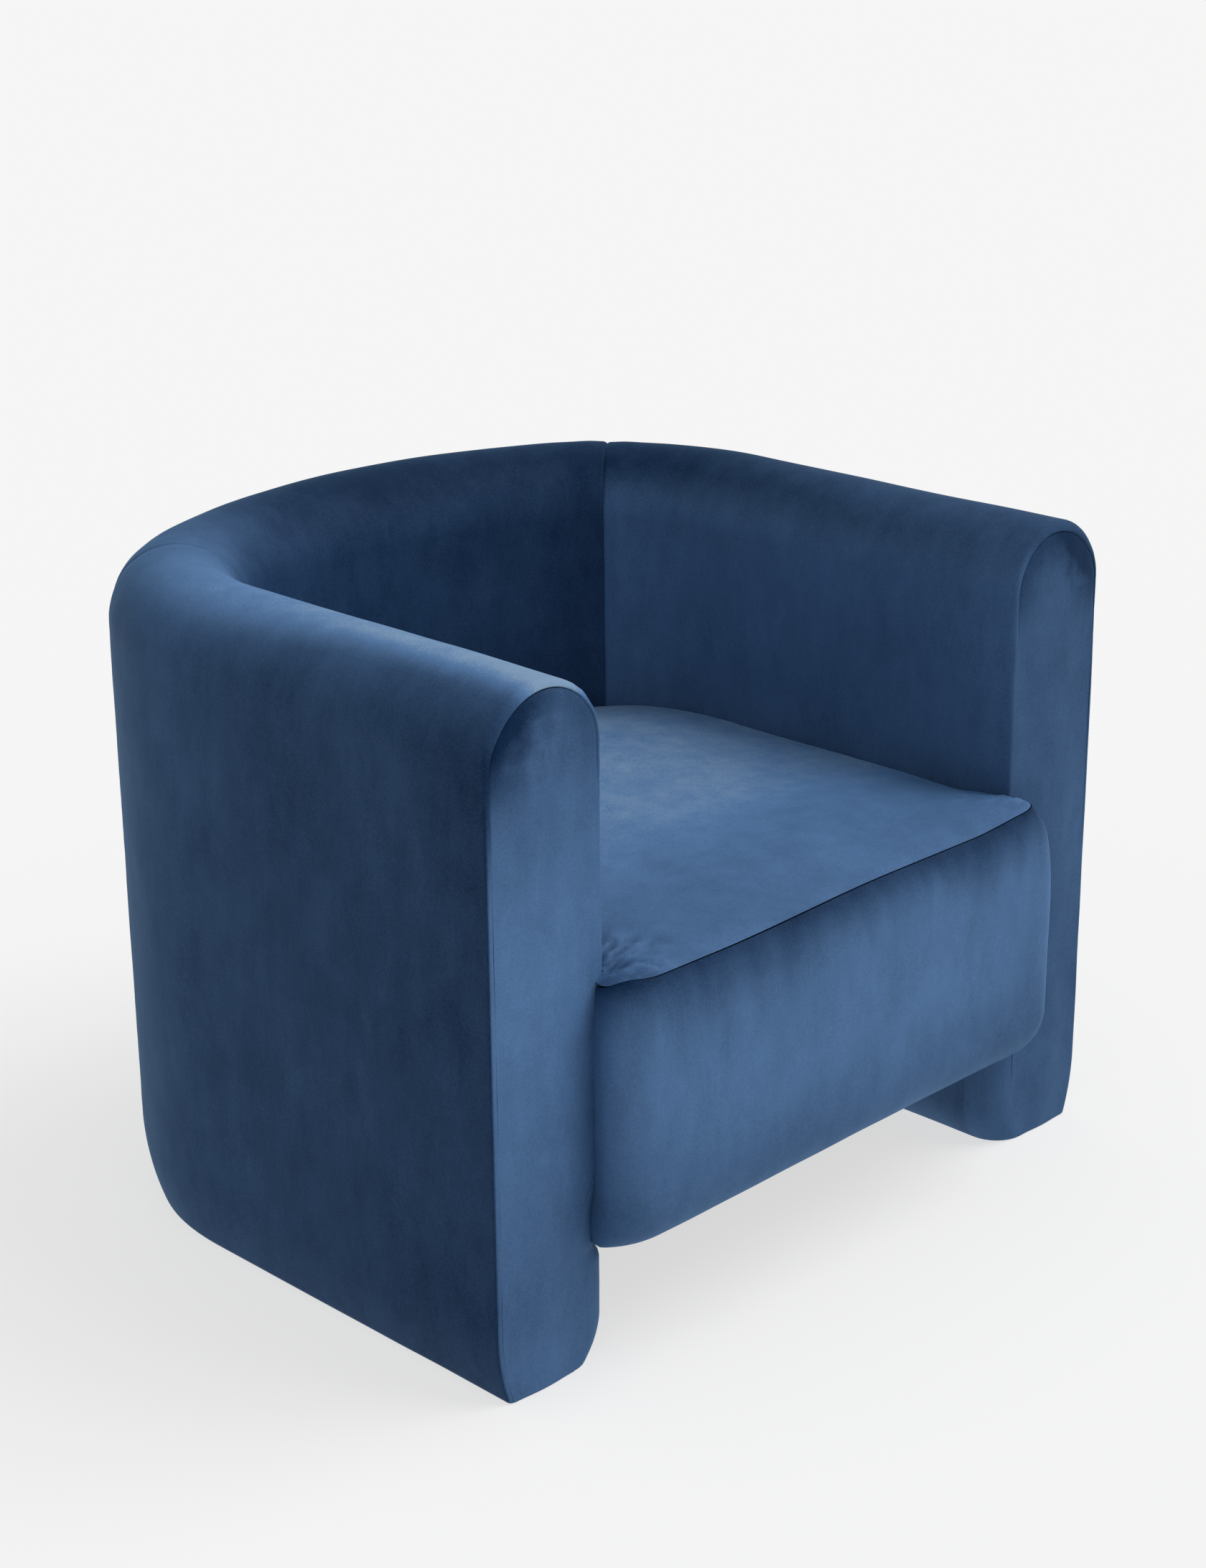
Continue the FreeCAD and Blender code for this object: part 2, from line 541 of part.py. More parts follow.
inside_x = size("seat_half") - size("rail")
front_in = size("front_y") + size("plywood")
rear_in = size("rear_rail_y") - size("rail")
corner_block("corner_block_front_left", -inside_x, front_in, 1, 1)
corner_block("corner_block_front_right", inside_x, front_in, -1, 1)
corner_block("corner_block_rear_left", -inside_x, rear_in, 1, -1)
corner_block("corner_block_rear_right", inside_x, rear_in, -1, -1)

rear_deck("rear_deck_board")

springs = []
for number, step in enumerate((-2, -1, 0, 1, 2), start=1):
    springs.append(spring("spring_%d" % number, step * size("spring_pitch")))
seat_springs = doc.addObject("Part::Compound", "seat_springs")
seat_springs.Links = springs

seat_slab("deck_cloth", "cloth_z", spot("cloth"))
seat_slab("seat_foam", "foam_z", "sizes.wadding_z - sizes.foam_z")
seat_slab("seat_wadding", "wadding_z", spot("wadding"))
seat_slab("velvet_seat_top", "cover_z", spot("velvet"))
nose("nose_foam", "velvet", "sizes.nose_reach - sizes.velvet")
nose_block = nose("nose_block", "flush", "sizes.nose_reach")
velvet_nose = doc.addObject("Part::Cut", "velvet_nose")
velvet_nose.Base = nose_block
velvet_nose.Tool = doc.getObject("nose_foam")

plank("seat_dust_cloth", "-sizes.seat_half", "sizes.front_y", "sizes.box_z - sizes.cambric",
      "2 * sizes.seat_half", "sizes.rear_rail_y - sizes.front_y", "sizes.cambric")

for name, left_x in (("left", "-sizes.seat_half + sizes.rail"),
                     ("right", "sizes.seat_half - sizes.rail - sizes.cleat")):
    plank("spring_cleat_" + name, left_x, "sizes.front_y + sizes.plywood + sizes.cleat_end",
          "sizes.spring_seat - sizes.cleat_drop", "sizes.cleat",
          "sizes.rear_rail_y - sizes.rail - sizes.front_y - sizes.plywood - 2 * sizes.cleat_end",
          "sizes.cleat")

feet = []
for name, sign in (("left", "-"), ("right", "")):
    places = (
        ("front", sign + "(sizes.half_width - sizes.mid)", "sizes.core_front + sizes.glide_front"),
        ("middle", sign + "(sizes.half_width - sizes.mid)", "sizes.corner_y - sizes.back_set"),
        ("rear", sign + "sizes.back_stud_x", "sizes.back_y - sizes.mid - sizes.back_set"),
    )
    for place, x, y in places:
        foot = doc.addObject("Part::Cylinder", "glide_%s_%s" % (place, name))
        foot.setExpression("Radius", "sizes.glide_radius")
        foot.setExpression("Height", "sizes.glide_height")
        foot.setExpression("Placement.Base.x", x)
        foot.setExpression("Placement.Base.y", y)
        feet.append(foot)
glides = doc.addObject("Part::Compound", "glides")
glides.Links = feet

doc.recompute()

helpers = {item.Label for item in springs + feet} | {"nose_block"}
for item in doc.Objects:
    if "Invalid" in item.State or "Error" in item.State:
        raise RuntimeError("%s did not compute: %s" % (item.Label, item.State))
kinds = ("PartDesign::Body", "Part::Box", "Part::Compound", "Part::Cut")
for item in doc.Objects:
    if item.TypeId not in kinds or item.Label in helpers:
        continue
    shape = item.Shape
    if shape.isNull() or not shape.isValid():
        raise RuntimeError("%s has no valid shape" % item.Label)
    shape.exportStep("parts/%s.step" % item.Label)
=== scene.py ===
import math

import bpy
import numpy as np
from mathutils import Matrix, Vector, noise


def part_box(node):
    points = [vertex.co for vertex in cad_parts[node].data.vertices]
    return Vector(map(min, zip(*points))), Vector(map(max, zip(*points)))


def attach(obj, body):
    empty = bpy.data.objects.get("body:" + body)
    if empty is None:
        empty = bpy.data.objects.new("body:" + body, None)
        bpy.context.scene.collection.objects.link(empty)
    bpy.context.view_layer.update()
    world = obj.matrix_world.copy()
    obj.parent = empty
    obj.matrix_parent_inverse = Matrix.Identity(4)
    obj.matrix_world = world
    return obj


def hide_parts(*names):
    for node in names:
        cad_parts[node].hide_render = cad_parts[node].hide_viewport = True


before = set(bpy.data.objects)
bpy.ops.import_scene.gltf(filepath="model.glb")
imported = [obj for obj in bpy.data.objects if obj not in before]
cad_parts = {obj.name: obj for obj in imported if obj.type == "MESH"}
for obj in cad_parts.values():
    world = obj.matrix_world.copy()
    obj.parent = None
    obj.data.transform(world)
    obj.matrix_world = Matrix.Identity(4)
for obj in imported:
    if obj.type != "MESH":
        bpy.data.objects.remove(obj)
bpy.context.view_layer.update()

# ---------------------------------------------------------------- sizes, in metres, from the frame
arm_low, arm_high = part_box("velvet_left")
back_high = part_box("velvet_back")[1]
facing_low, facing_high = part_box("velvet_front_left")
seat_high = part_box("velvet_seat_top")[1]
nose_low, nose_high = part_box("velvet_nose")

HALF = -arm_low[0]                        # outer face of the arms
FRONT = arm_low[1]                        # front plane of the arms
BACK = back_high[1]                       # outer face of the back
TOP = arm_high[2]                         # crest of the roll
VELVET = facing_low[0] + HALF             # cloth thickness
WALL = facing_high[0] - facing_low[0] + 2 * VELVET
ROLL = WALL / 2                           # radius of the roll
ROLL_Z = TOP - ROLL
CORNER = 0.309                            # outside radius where arm turns into back
SWEEP = 0.618                             # outside radius of the back
SEAM = math.radians(42)                   # arm-to-back seam, measured from the arm's side
CORNER_X = HALF - CORNER
SWEEP_Y = BACK - SWEEP
CORNER_Y = SWEEP_Y + math.sqrt((SWEEP - CORNER) ** 2 - CORNER_X ** 2)
JOIN = math.asin((CORNER_Y - SWEEP_Y) / (SWEEP - CORNER))
GAP_HALF = HALF - WALL                    # half the width between the arms
SEAT_Z = seat_high[2]
NOSE_HALF = nose_high[0]
NOSE_Y = nose_low[1]
NOSE_Z = nose_low[2]
LOWEST = 0.0004                           # no cloth goes below this
FLOOR_GAP = 0.0012                        # cloth stands just clear of the floor
PAINTED_SHEEN_TOP = 1.4                             # lightest pile; above 1 the colour is bleached into a painted sheen highlight
SOFTNESS = 0.0011                         # soft unevenness of the padding under the covers
SOFT_SIZE = 0.16                          # and how broad its swells are


# ---------------------------------------------------------------- small maths
def smooth(edge0, edge1, x):
    """0 below edge0, 1 above edge1, eased between."""
    t = np.clip((x - edge0) / (edge1 - edge0), 0.0, 1.0)
    return t * t * (3 - 2 * t)


def bump(x, width):
    """1 at x = 0, falling to nothing a few widths away."""
    return np.exp(-(x / width) ** 2)


def spaced(stops, gaps):
    """Values from stops[0] to stops[-1]; gaps[i] is the step between stops[i] and stops[i + 1]."""
    values = [stops[0]]
    for start, end, gap in zip(stops, stops[1:], gaps):
        count = max(1, int(round((end - start) / gap)))
        values.extend(start + (end - start) * (i + 1) / count for i in range(count))
    return np.array(values)


def cloud_noise(points, size, octaves, seed):
    """Smooth noise about 0 at each point, roughly -1 to 1."""
    shift = Vector((seed * 7.1, seed * 3.7, seed * 5.3))
    out = np.empty(len(points))
    for i, p in enumerate(points):
        at = Vector((p[0] / size, p[1] / size, p[2] / size))
        out[i] = noise.fractal(at + shift, 0.9, 2.0, octaves)
    return out


def ripple(values, period, row, layer=0.0):
    """Noise along one direction; row and layer pick different ripples."""
    return np.array([noise.noise(Vector((v / period, row, layer))) for v in values])


def flat_noise(points, x_size, row, z_size):
    """Noise over the x and z of points."""
    return np.array([noise.noise(Vector((p[0] / x_size, row, p[2] / z_size))) for p in points])


# ---------------------------------------------------------------- mesh helpers
def mesh_object(name, points, faces, nap_and_shading):
    """Smooth mesh. The last argument gives the pile and the painted light and shade at each point:
    0 dark, 1 light, more is a bleached painted sheen highlight.
    """
    mesh = bpy.data.meshes.new(name)
    mesh.from_pydata([(p[0], p[1], max(p[2], LOWEST)) for p in points], [], faces)
    pile_and_shading = mesh.attributes.new("nap_and_shading", "FLOAT", "POINT")
    pile_and_shading.data.foreach_set("value", np.clip(nap_and_shading, 0, PAINTED_SHEEN_TOP).astype(np.float32).ravel())
    mesh.validate()
    mesh.update()
    piece = bpy.data.objects.new(name, mesh)
    bpy.context.scene.collection.objects.link(piece)
    for face in mesh.polygons:
        face.use_smooth = True
    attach(piece, "root")
    return piece


def grid_faces(rows, cols, flip=False):
    """Quads between the points of a grid; flip turns them over."""
    faces = []
    for i in range(rows - 1):
        for j in range(cols - 1):
            corner = i * cols + j
            quad = (corner, corner + 1, corner + cols + 1, corner + cols)
            faces.append(quad[::-1] if flip else quad)
    return faces


def push(flat, shape, amount):
    """Move grid points along the surface normal."""
    points = flat.reshape(shape)
    across = np.gradient(points, axis=1)
    along = np.gradient(points, axis=0)
    normal = np.cross(along, across).reshape(-1, 3)
    normal /= np.linalg.norm(normal, axis=1)[:, None] + 1e-12
    return flat + normal * amount[:, None]


# ---------------------------------------------------------------- the wall: arm, back, arm
STRAIGHT = CORNER_Y - FRONT
CORNER_RUN = (CORNER - ROLL) * JOIN
SWEEP_RUN = (SWEEP - ROLL) * (math.pi - 2 * JOIN)
RUN = 2 * (STRAIGHT + CORNER_RUN) + SWEEP_RUN
LEFT_SEAM = STRAIGHT + (CORNER - ROLL) * SEAM
RIGHT_SEAM = RUN - LEFT_SEAM


def wall_place(s):
    """Outer-face point and inward direction in plan, at distance s along the wall's middle line."""
    mirror = s > RUN / 2
    if mirror:
        s = RUN - s
    if s <= STRAIGHT:
        at, inward = (-HALF, FRONT + s), (1.0, 0.0)
    elif s <= STRAIGHT + CORNER_RUN:
        angle = math.pi - (s - STRAIGHT) / (CORNER - ROLL)
        out = (math.cos(angle), math.sin(angle))
        at = (-CORNER_X + CORNER * out[0], CORNER_Y + CORNER * out[1])
        inward = (-out[0], -out[1])
    else:
        angle = math.pi - JOIN - (s - STRAIGHT - CORNER_RUN) / (SWEEP - ROLL)
        out = (math.cos(angle), math.sin(angle))
        at = (SWEEP * out[0], SWEEP_Y + SWEEP * out[1])
        inward = (-out[0], -out[1])
    if mirror:
        return (-at[0], at[1]), (-inward[0], inward[1])
    return at, inward


OUTER_TUCK = 0.013                        # how far the outer face draws in at the floor
OUTER_TUCK_TOP = 0.075                    # height where that begins
INNER_TUCK = 0.020                        # the same on the legs' inner side
INNER_TUCK_TOP = 0.044
SKIRT = 0.010                             # extra padding inside the legs, below the seat
BOTTOM_EDGE = 0.0015                      # bevel of the cover's lower edge
BOTTOM_TURN = 0.025                       # how far the cover turns in under the wall


def wall_section():
    """Cross-section of the cover, from the outer floor edge over the roll to the inner floor edge.

    Returns u (inwards from the outer face), z, the inward normal's u and z, and length along it.
    """
    low = FLOOR_GAP
    top = ROLL_Z - 0.002
    z_out = spaced([low + BOTTOM_EDGE, 0.09, top], [0.004, 0.007])
    z_in = spaced([top, NOSE_Z + 0.015, low + BOTTOM_EDGE], [-0.007, -0.0035])
    angles = np.linspace(math.pi, 0, 34)
    outer = OUTER_TUCK * np.clip(1 - z_out / OUTER_TUCK_TOP, 0, 1) ** 2
    inner = (WALL + SKIRT * smooth(NOSE_Z - 0.001, NOSE_Z - 0.016, z_in)
             - INNER_TUCK * np.clip(1 - z_in / INNER_TUCK_TOP, 0, 1) ** 2)
    u = np.concatenate([
        [outer[0] + BOTTOM_TURN, outer[0] + BOTTOM_EDGE],
        outer,
        ROLL + ROLL * np.cos(angles),
        inner,
        [inner[-1] - BOTTOM_EDGE, inner[-1] - BOTTOM_TURN],
    ])
    z = np.concatenate([[low, low], z_out, ROLL_Z + ROLL * np.sin(angles), z_in, [low, low]])
    du, dz = np.gradient(u), np.gradient(z)
    length = np.hypot(du, dz)
    along = np.concatenate([[0], np.cumsum(np.hypot(np.diff(u), np.diff(z)))])
    return u, z, dz / length, -du / length, along


SEC_U, SEC_Z, SEC_NU, SEC_NZ, SEC_T = wall_section()
ON_INNER = (SEC_U > ROLL) & (SEC_Z < ROLL_Z)
# degrees round the roll: 0 outside, 90 on the crest, 180 inside
ROUND_THE_ROLL = np.degrees(np.arctan2(SEC_Z - ROLL_Z, ROLL - SEC_U))
ROUND_THE_ROLL = np.where(SEC_Z < ROLL_Z, np.where(SEC_U < ROLL, 0.0, 180.0), ROUND_THE_ROLL)


LEG_ROUND = 0.031                         # extra rounding of the legs' inner front edge


def front_radius():
    """Rounding of the arm's front edge.

    It is tight on the sides, softer over the roll and wide under the seat.
    """
    over = (0.0042 + 0.0028 * smooth(0, 40, ROUND_THE_ROLL)
            + 0.0030 * bump(ROUND_THE_ROLL - 60, 45)
            - 0.0030 * smooth(90, 170, ROUND_THE_ROLL))
    under_seat = LEG_ROUND * smooth(NOSE_Z + 0.11, NOSE_Z + 0.025, SEC_Z)
    return over + np.where(ON_INNER, under_seat, 0.0)


EDGE_ROUND = front_radius()
# the way the front edge turns in: square to the faces, and along the normal over the roll
EDGE_NU = np.where(SEC_Z < ROLL_Z, np.where(ON_INNER, -1.0, 1.0), SEC_NU)
EDGE_NZ = np.where(SEC_Z < ROLL_Z, 0.0, SEC_NZ)


def wall_point_rows(s_values, shrink, round_in=None, y_shift=None):
    """Grid of points on the wall, one row per distance s.

    shrink pushes a point into the padding, round_in turns it in at the arm front and y_shift
    moves it back.
    """
    points = np.empty((len(s_values), len(SEC_U), 3))
    for i, s in enumerate(s_values):
        (ox, oy), (nx, ny) = wall_place(s)
        turned = 0.0 if round_in is None else round_in[i]
        u = SEC_U + SEC_NU * shrink[i] + EDGE_NU * turned
        points[i, :, 0] = ox + nx * u
        points[i, :, 1] = oy + ny * u
        points[i, :, 2] = SEC_Z + SEC_NZ * shrink[i] + EDGE_NZ * turned
    if y_shift is not None:
        points[:, :, 1] += y_shift
    return points


VALLEY = 0.0016                           # depth of the groove along a facing seam, over the roll
VALLEY_DEPTH = smooth(ROLL_Z - 0.06, ROLL_Z, SEC_Z)


def pucker(distance, seed, reach, size, period):
    """Small gathers running away from a seam, for rows at these distances from it.

    They are size high and period wide, and fade over reach.
    """
    wave = ripple(SEC_T, period, seed * 3.3)
    fine = ripple(SEC_T, period / 2.3, seed * 9.1, 4)
    strength = 0.5 + 0.5 * ripple(SEC_T, 0.11, seed * 5.7, 8)
    fade = np.exp(-np.abs(distance) / reach) * smooth(0.0, 0.003, np.abs(distance))
    return -size * fade[:, None] * ((wave + 0.5 * fine) * strength)[None, :]


def wall_shrink(s_values, seams):
    """How far the cover sits inside its plain shape beside the seams: grooves and gathers."""
    shrink = np.zeros((len(s_values), len(SEC_U)))
    groove = 0.0011 + 0.0008 * smooth(ROLL_Z, ROLL_Z + 0.03, SEC_Z)
    for number, seam in enumerate(seams):
        gap = s_values - seam
        shrink += bump(gap, 0.0018)[:, None] * groove[None, :]
        shrink -= 0.0008 * bump(np.abs(gap) - 0.020, 0.014)[:, None]
        shrink += pucker(gap, number + seam, 0.020, 0.0012, 0.016)
    return shrink


def facing_nap_and_shading(z, left):
    """Pile and painted light on an arm front, by height: the left one is painted lighter, most of
    all around its middle.
    """
    if left:
        return 0.52 + 0.30 * bump(z - 0.38, 0.17)
    return np.full(np.shape(z), 0.40)


def wall_nap_and_shading(s_values, mirrored=False):
    """The pile and painted shade make both faces dark, and a painted sheen highlight makes the
    crest light, most of all on the left arm.

    mirrored is for rows that are built on the left and flipped over to the right arm.
    """
    place = s_values / RUN
    if mirrored:
        place = 1 - place
    crest = (0.03 + 1.14 * smooth(0.48, 0.14, place) + 0.26 * smooth(0.16, 0.02, place)
             + 0.22 * smooth(0.70, 0.95, place))
    outer = 0.07 + 0.05 * smooth(0.00, 0.08, place) + 0.08 * smooth(0.15, 0.26, place)
    inner = 0.14 + (0.46 - 0.12 * smooth(0.78, 0.90, place) if mirrored else 0.0)
    turned = ROUND_THE_ROLL
    # near the arm front the painted highlight stops short of the outer face, at the corner it runs
    # on down it
    narrow = smooth(0.22, 0.08, place)[:, None]
    share = 0.45 - 0.25 * narrow
    steep = smooth(34 + 19 * narrow, 84 + 9 * narrow, turned[None, :])
    shoulder = share * smooth(-10, 80, turned)[None, :] + (1 - share) * steep
    over = shoulder * smooth(175, 120, turned)[None, :]
    faces = outer[:, None] + (inner - outer)[:, None] * smooth(90, 170, turned)[None, :]
    lower = 0.05 * np.where(ON_INNER, smooth(ROLL_Z, SEAT_Z, SEC_Z), 0.0)[None, :]
    return faces + lower + (crest[:, None] - faces) * over


# turn of each of a cover's first rows round the arm's front edge; the very first is the seam
FRONT_TURNS = np.concatenate([[-0.25], np.linspace(0, math.pi / 2, 9)[:-1]])


def front_edge(s_values):
    """How far each row of an arm cover turns in, and how far it moves back, at the front edge."""
    count = len(FRONT_TURNS)
    turns = np.maximum(FRONT_TURNS, 0)[:, None]
    round_in = np.zeros((len(s_values), len(SEC_U)))
    round_in[:count] = EDGE_ROUND * (1 - np.sin(turns))
    y_shift = EDGE_ROUND * (1 - smooth(0.0, 0.12, s_values))[:, None]
    y_shift[:count] = EDGE_ROUND * (1 - np.cos(turns))
    # the seam is a hair further in and drawn back into its groove
    round_in[0] += 0.0009
    y_shift[0] += VALLEY * VALLEY_DEPTH
    return round_in, y_shift


def front_edge_nap_and_shading(nap_and_shading, s_values, left):
    """Carry the pile and painted light and shade on from the facing round an arm's front edge."""
    count = len(FRONT_TURNS)
    swing = np.sin(np.maximum(FRONT_TURNS, 0))[:, None]
    far_side = np.where(ON_INNER | (not left), 1.0, 0.0)[None, :]
    edge = far_side * smooth(1.03, 0.86, swing) + (1 - far_side) * smooth(0.85, 0.55, swing)
    over_roll = smooth(ROLL_Z - 0.12, ROLL_Z, SEC_Z) * smooth(175, 120, ROUND_THE_ROLL)
    front = facing_nap_and_shading(SEC_Z, left)[None, :]
    nap_and_shading[:count] += (front - nap_and_shading[:count]) * edge * (1 - over_roll[None, :])
    # inside the legs painted light keeps it lighter near the front
    legs = smooth(NOSE_Z + 0.03, NOSE_Z, SEC_Z) * np.where(ON_INNER, 1.0, 0.0)
    behind = smooth(0.06, 0.0, s_values) * smooth(-1, 1, np.arange(len(s_values)) - count)
    nap_and_shading += (0.37 - nap_and_shading) * legs[None, :] * behind[:, None]


def arm_panel(name, left):
    """Cover of one arm, from its front edge to the seam with the back, and its front rim.

    The right arm is built on the left and mirrored.
    """
    straight = spaced([0.0, 0.02, 0.10, LEFT_SEAM - 0.02, LEFT_SEAM],
                      [0.002, 0.005, 0.008, 0.0015])
    s_values = np.concatenate([np.zeros(len(FRONT_TURNS)), straight])
    from_facing = s_values + np.concatenate([FRONT_TURNS * 0.004, np.full(len(straight), 0.006)])
    mostly_roll = np.where(SEC_Z > ROLL_Z - 0.10, 1.0, 0.25)
    shrink = wall_shrink(s_values, [LEFT_SEAM])
    shrink += pucker(from_facing, 4.2 if left else 7.9, 0.022, 0.0011, 0.013) * mostly_roll
    points = wall_point_rows(s_values, shrink, *front_edge(s_values))
    if not left:
        points[:, :, 0] *= -1
    flat = points.reshape(-1, 3)
    uneven = cloud_noise(flat, SOFT_SIZE, 2, seed=1.0 if left else 2.0) * SOFTNESS
    flat = push(flat, points.shape, uneven)
    nap_and_shading = wall_nap_and_shading(s_values, mirrored=not left)
    front_edge_nap_and_shading(nap_and_shading, s_values, left)
    piece = mesh_object(name, flat, grid_faces(*points.shape[:2], flip=left), nap_and_shading)
    return piece, points[0]


def back_panel(name):
    """Cover of the back, between its seams with the arms."""
    s_values = spaced([LEFT_SEAM, LEFT_SEAM + 0.02, RIGHT_SEAM - 0.02, RIGHT_SEAM],
                      [0.0015, 0.008, 0.0015])
    shrink = wall_shrink(s_values, [LEFT_SEAM, RIGHT_SEAM])
    points = wall_point_rows(s_values, shrink)
    flat = points.reshape(-1, 3)
    flat = push(flat, points.shape, cloud_noise(flat, SOFT_SIZE, 2, seed=3.0) * SOFTNESS)
    faces = grid_faces(len(s_values), len(SEC_U), flip=True)
    return mesh_object(name, flat, faces, wall_nap_and_shading(s_values))


FACING_CROWN = 0.0048                     # how far an arm front bulges
FACING_RINGS = np.concatenate([[1.0, 0.988, 0.97, 0.945, 0.91, 0.87], np.linspace(0.82, 0.0, 12)])


def dark_top(points, rim_u, rim_z, depth):
    """Dark patch under the top of an arm front, ragged and strongest on the outer side: painted
    shade under the roll.
    """
    at_top = smooth(ROLL_Z - 0.06, ROLL_Z + 0.03, rim_z)
    outside = 0.45 + 0.55 * smooth(ROLL + 0.03, ROLL - 0.04, rim_u)
    spots = flat_noise(points, 0.017, 3.1, 0.017) + 0.5 * flat_noise(points, 0.007, 5.2, 0.007)
    reach = 0.034 * (1 + 0.5 * spots)
    return 0.58 * at_top * outside * np.exp(-(depth / reach) ** 2)


def facing(name, rim, left):
    """D-shaped panel on the arm front, sewn to the cover along rim.

    It is made of rings that close in from the rim, 1, to a spine up the middle of the arm, 0.
    """
    side = -1 if left else 1
    rim = rim[1:-1]
    along, valley = SEC_T[1:-1], VALLEY_DEPTH[1:-1]
    u = HALF - side * rim[:, 0]
    z = rim[:, 2]
    spine_u = ROLL - 0.012 * smooth(NOSE_Z + 0.10, NOSE_Z, z)
    spine_z = np.clip(z, FLOOR_GAP, ROLL_Z - 0.01)
    rim_rise = rim[:, 1] - FRONT - VALLEY * valley
    gather = ripple(along, 0.020, 3.1 if left else 6.4)
    points = np.empty((len(FACING_RINGS), len(rim), 3))
    nap_and_shading = np.empty((len(FACING_RINGS), len(rim)))
    for i, ring in enumerate(FACING_RINGS):
        depth = np.hypot(u - spine_u, z - spine_z) * (1 - ring)
        # the padding stands up sharply over the roll and softly down the legs
        crisp, soft = 1 - np.exp(-depth / 0.016), smooth(0.0, 1.0, 1 - ring)
        crown = FACING_CROWN * (crisp * valley + soft * (1 - valley)) * smooth(-0.05, 0.08, z)
        pull = 0.0009 * gather * np.exp(-depth / 0.018) * smooth(0, 0.004, depth)
        pull = np.where(z > ROLL_Z - 0.08, pull, 0.0)
        groove = VALLEY * valley * np.exp(-depth / 0.0016)
        rise = rim_rise * (1 - smooth(0.0, 0.055, depth))
        points[i, :, 0] = side * (HALF - spine_u - (u - spine_u) * ring)
        points[i, :, 1] = FRONT - crown + pull + groove + rise
        points[i, :, 2] = spine_z + (z - spine_z) * ring
        nap_and_shading[i] = facing_nap_and_shading(points[i, :, 2], left) - dark_top(points[i], u, z, depth)
    flat = points.reshape(-1, 3)
    inside = np.repeat(smooth(1.0, 0.30, FACING_RINGS), len(rim))
    flat[:, 1] += cloud_noise(flat, 0.14, 2, seed=5.0 if left else 6.0) * 0.0012 * inside
    return mesh_object(name, flat, grid_faces(len(FACING_RINGS), len(rim), flip=not left), nap_and_shading)


# ---------------------------------------------------------------- the seat
WALL_CLEARANCE = 0.0006                   # seat cloth stops this far from the inner walls
SEAT_EDGE = GAP_HALF - WALL_CLEARANCE
CORNER_INNER = CORNER - WALL - WALL_CLEARANCE
SWEEP_INNER = SWEEP - WALL - WALL_CLEARANCE
SEAM_HALF = 0.310                         # the front seam laps over the arm fronts by a little
SEAM_SHY = 0.012                          # but by this much less on the sitter's left
SEAM_REACH = 0.047                        # seam in front of the arms
SEAM_CORNER = 0.040                       # length of its rounded ends
SEAM_POWER = 2.3                          # and their squareness
SEAM_PINCH = 0.001
NOSE_REACH = FRONT - NOSE_Y
CORNER_TURNS = np.linspace(0, math.pi / 2, 15)


def front_plan(half, reach, corner, power, pinch):
    """Plan line round the front of the seat, from arm front to arm front.

    half and reach are its extent, corner the length of its rounded ends along x, power their
    squareness, and pinch how far the ends draw in where they meet the arms.
    """
    turns = CORNER_TURNS
    across = np.cos(turns) ** (2 / power)
    out = np.sin(turns) ** (2 / power)
    x = half - corner + corner * across - pinch * np.clip(1 - out * reach / 0.024, 0, 1) ** 1.5
    left = np.stack([-x, FRONT - 0.0005 - out * (reach - 0.0005)], axis=1)
    middle_x = np.linspace(-(half - corner), half - corner, 90)[1:-1]
    middle = np.stack([middle_x, np.full(len(middle_x), FRONT - reach)], axis=1)
    right = left[::-1] * [-1, 1]
    return np.concatenate([left, middle, right])


def set_back(plan, narrow, half):
    """Narrow the sitter's left end of a plan line of the given half width."""
    plan = plan.copy()
    plan[:, 0] *= np.where(plan[:, 0] > 0, 1 - narrow / half, 1.0)
    return plan


def seam_plan():
    """Plan line of the seam between seat top and nose."""
    plan = front_plan(SEAM_HALF, SEAM_REACH, SEAM_CORNER, SEAM_POWER, SEAM_PINCH)
    return set_back(plan, SEAM_SHY, SEAM_HALF)


def seam_level(x):
    """Height of the front seam away from its ends: lowest on the sitter's right."""
    return SEAT_Z - 0.0200 + 0.0075 * smooth(-0.20, 0.05, x) + 0.0060 * smooth(0.18, 0.28, x)


def ear_drop(x, y):
    """How far the cloth is drawn down where seat, nose and arm meet."""
    half = np.where(x > 0, SEAM_HALF - SEAM_SHY, SEAM_HALF)
    size = np.where(x > 0, 0.008, 0.015)
    beside = smooth(0.034, 0.0, half - np.abs(x))
    in_front = 1 - smooth(0.0, 0.042, FRONT - y)
    behind = np.exp(-np.maximum(y - FRONT, 0) / 0.045)
    return size * beside * in_front * behind


def seam_height(plan):
    """Height along the front seam, which is drawn down where it meets the arms."""
    return seam_level(plan[:, 0]) - ear_drop(plan[:, 0], plan[:, 1])


def behind_seam(x, y):
    """Distance of a point behind the front seam."""
    half = np.where(x > 0, SEAM_HALF - SEAM_SHY, SEAM_HALF)
    over = np.clip((np.abs(x) - (half - SEAM_CORNER)) / SEAM_CORNER, 0, 1)
    return y - (FRONT - SEAM_REACH * (1 - over ** SEAM_POWER) ** (1 / SEAM_POWER))


def wall_height(y):
    """Where the seat meets the inner walls: it falls towards the back."""
    return SEAT_Z - 0.015 - 0.015 * smooth(CORNER_Y - 0.05, BACK - WALL, y)


def run_along(line):
    """Distance of each point of a plan line from its start."""
    return np.concatenate([[0], np.cumsum(np.hypot(*np.diff(line, axis=0).T))])


def resample(line, fractions):
    """Points at the given fractions of a plan line's length."""
    run = run_along(line)
    at = fractions * run[-1]
    return np.stack([np.interp(at, run, line[:, 0]), np.interp(at, run, line[:, 1])], axis=1)


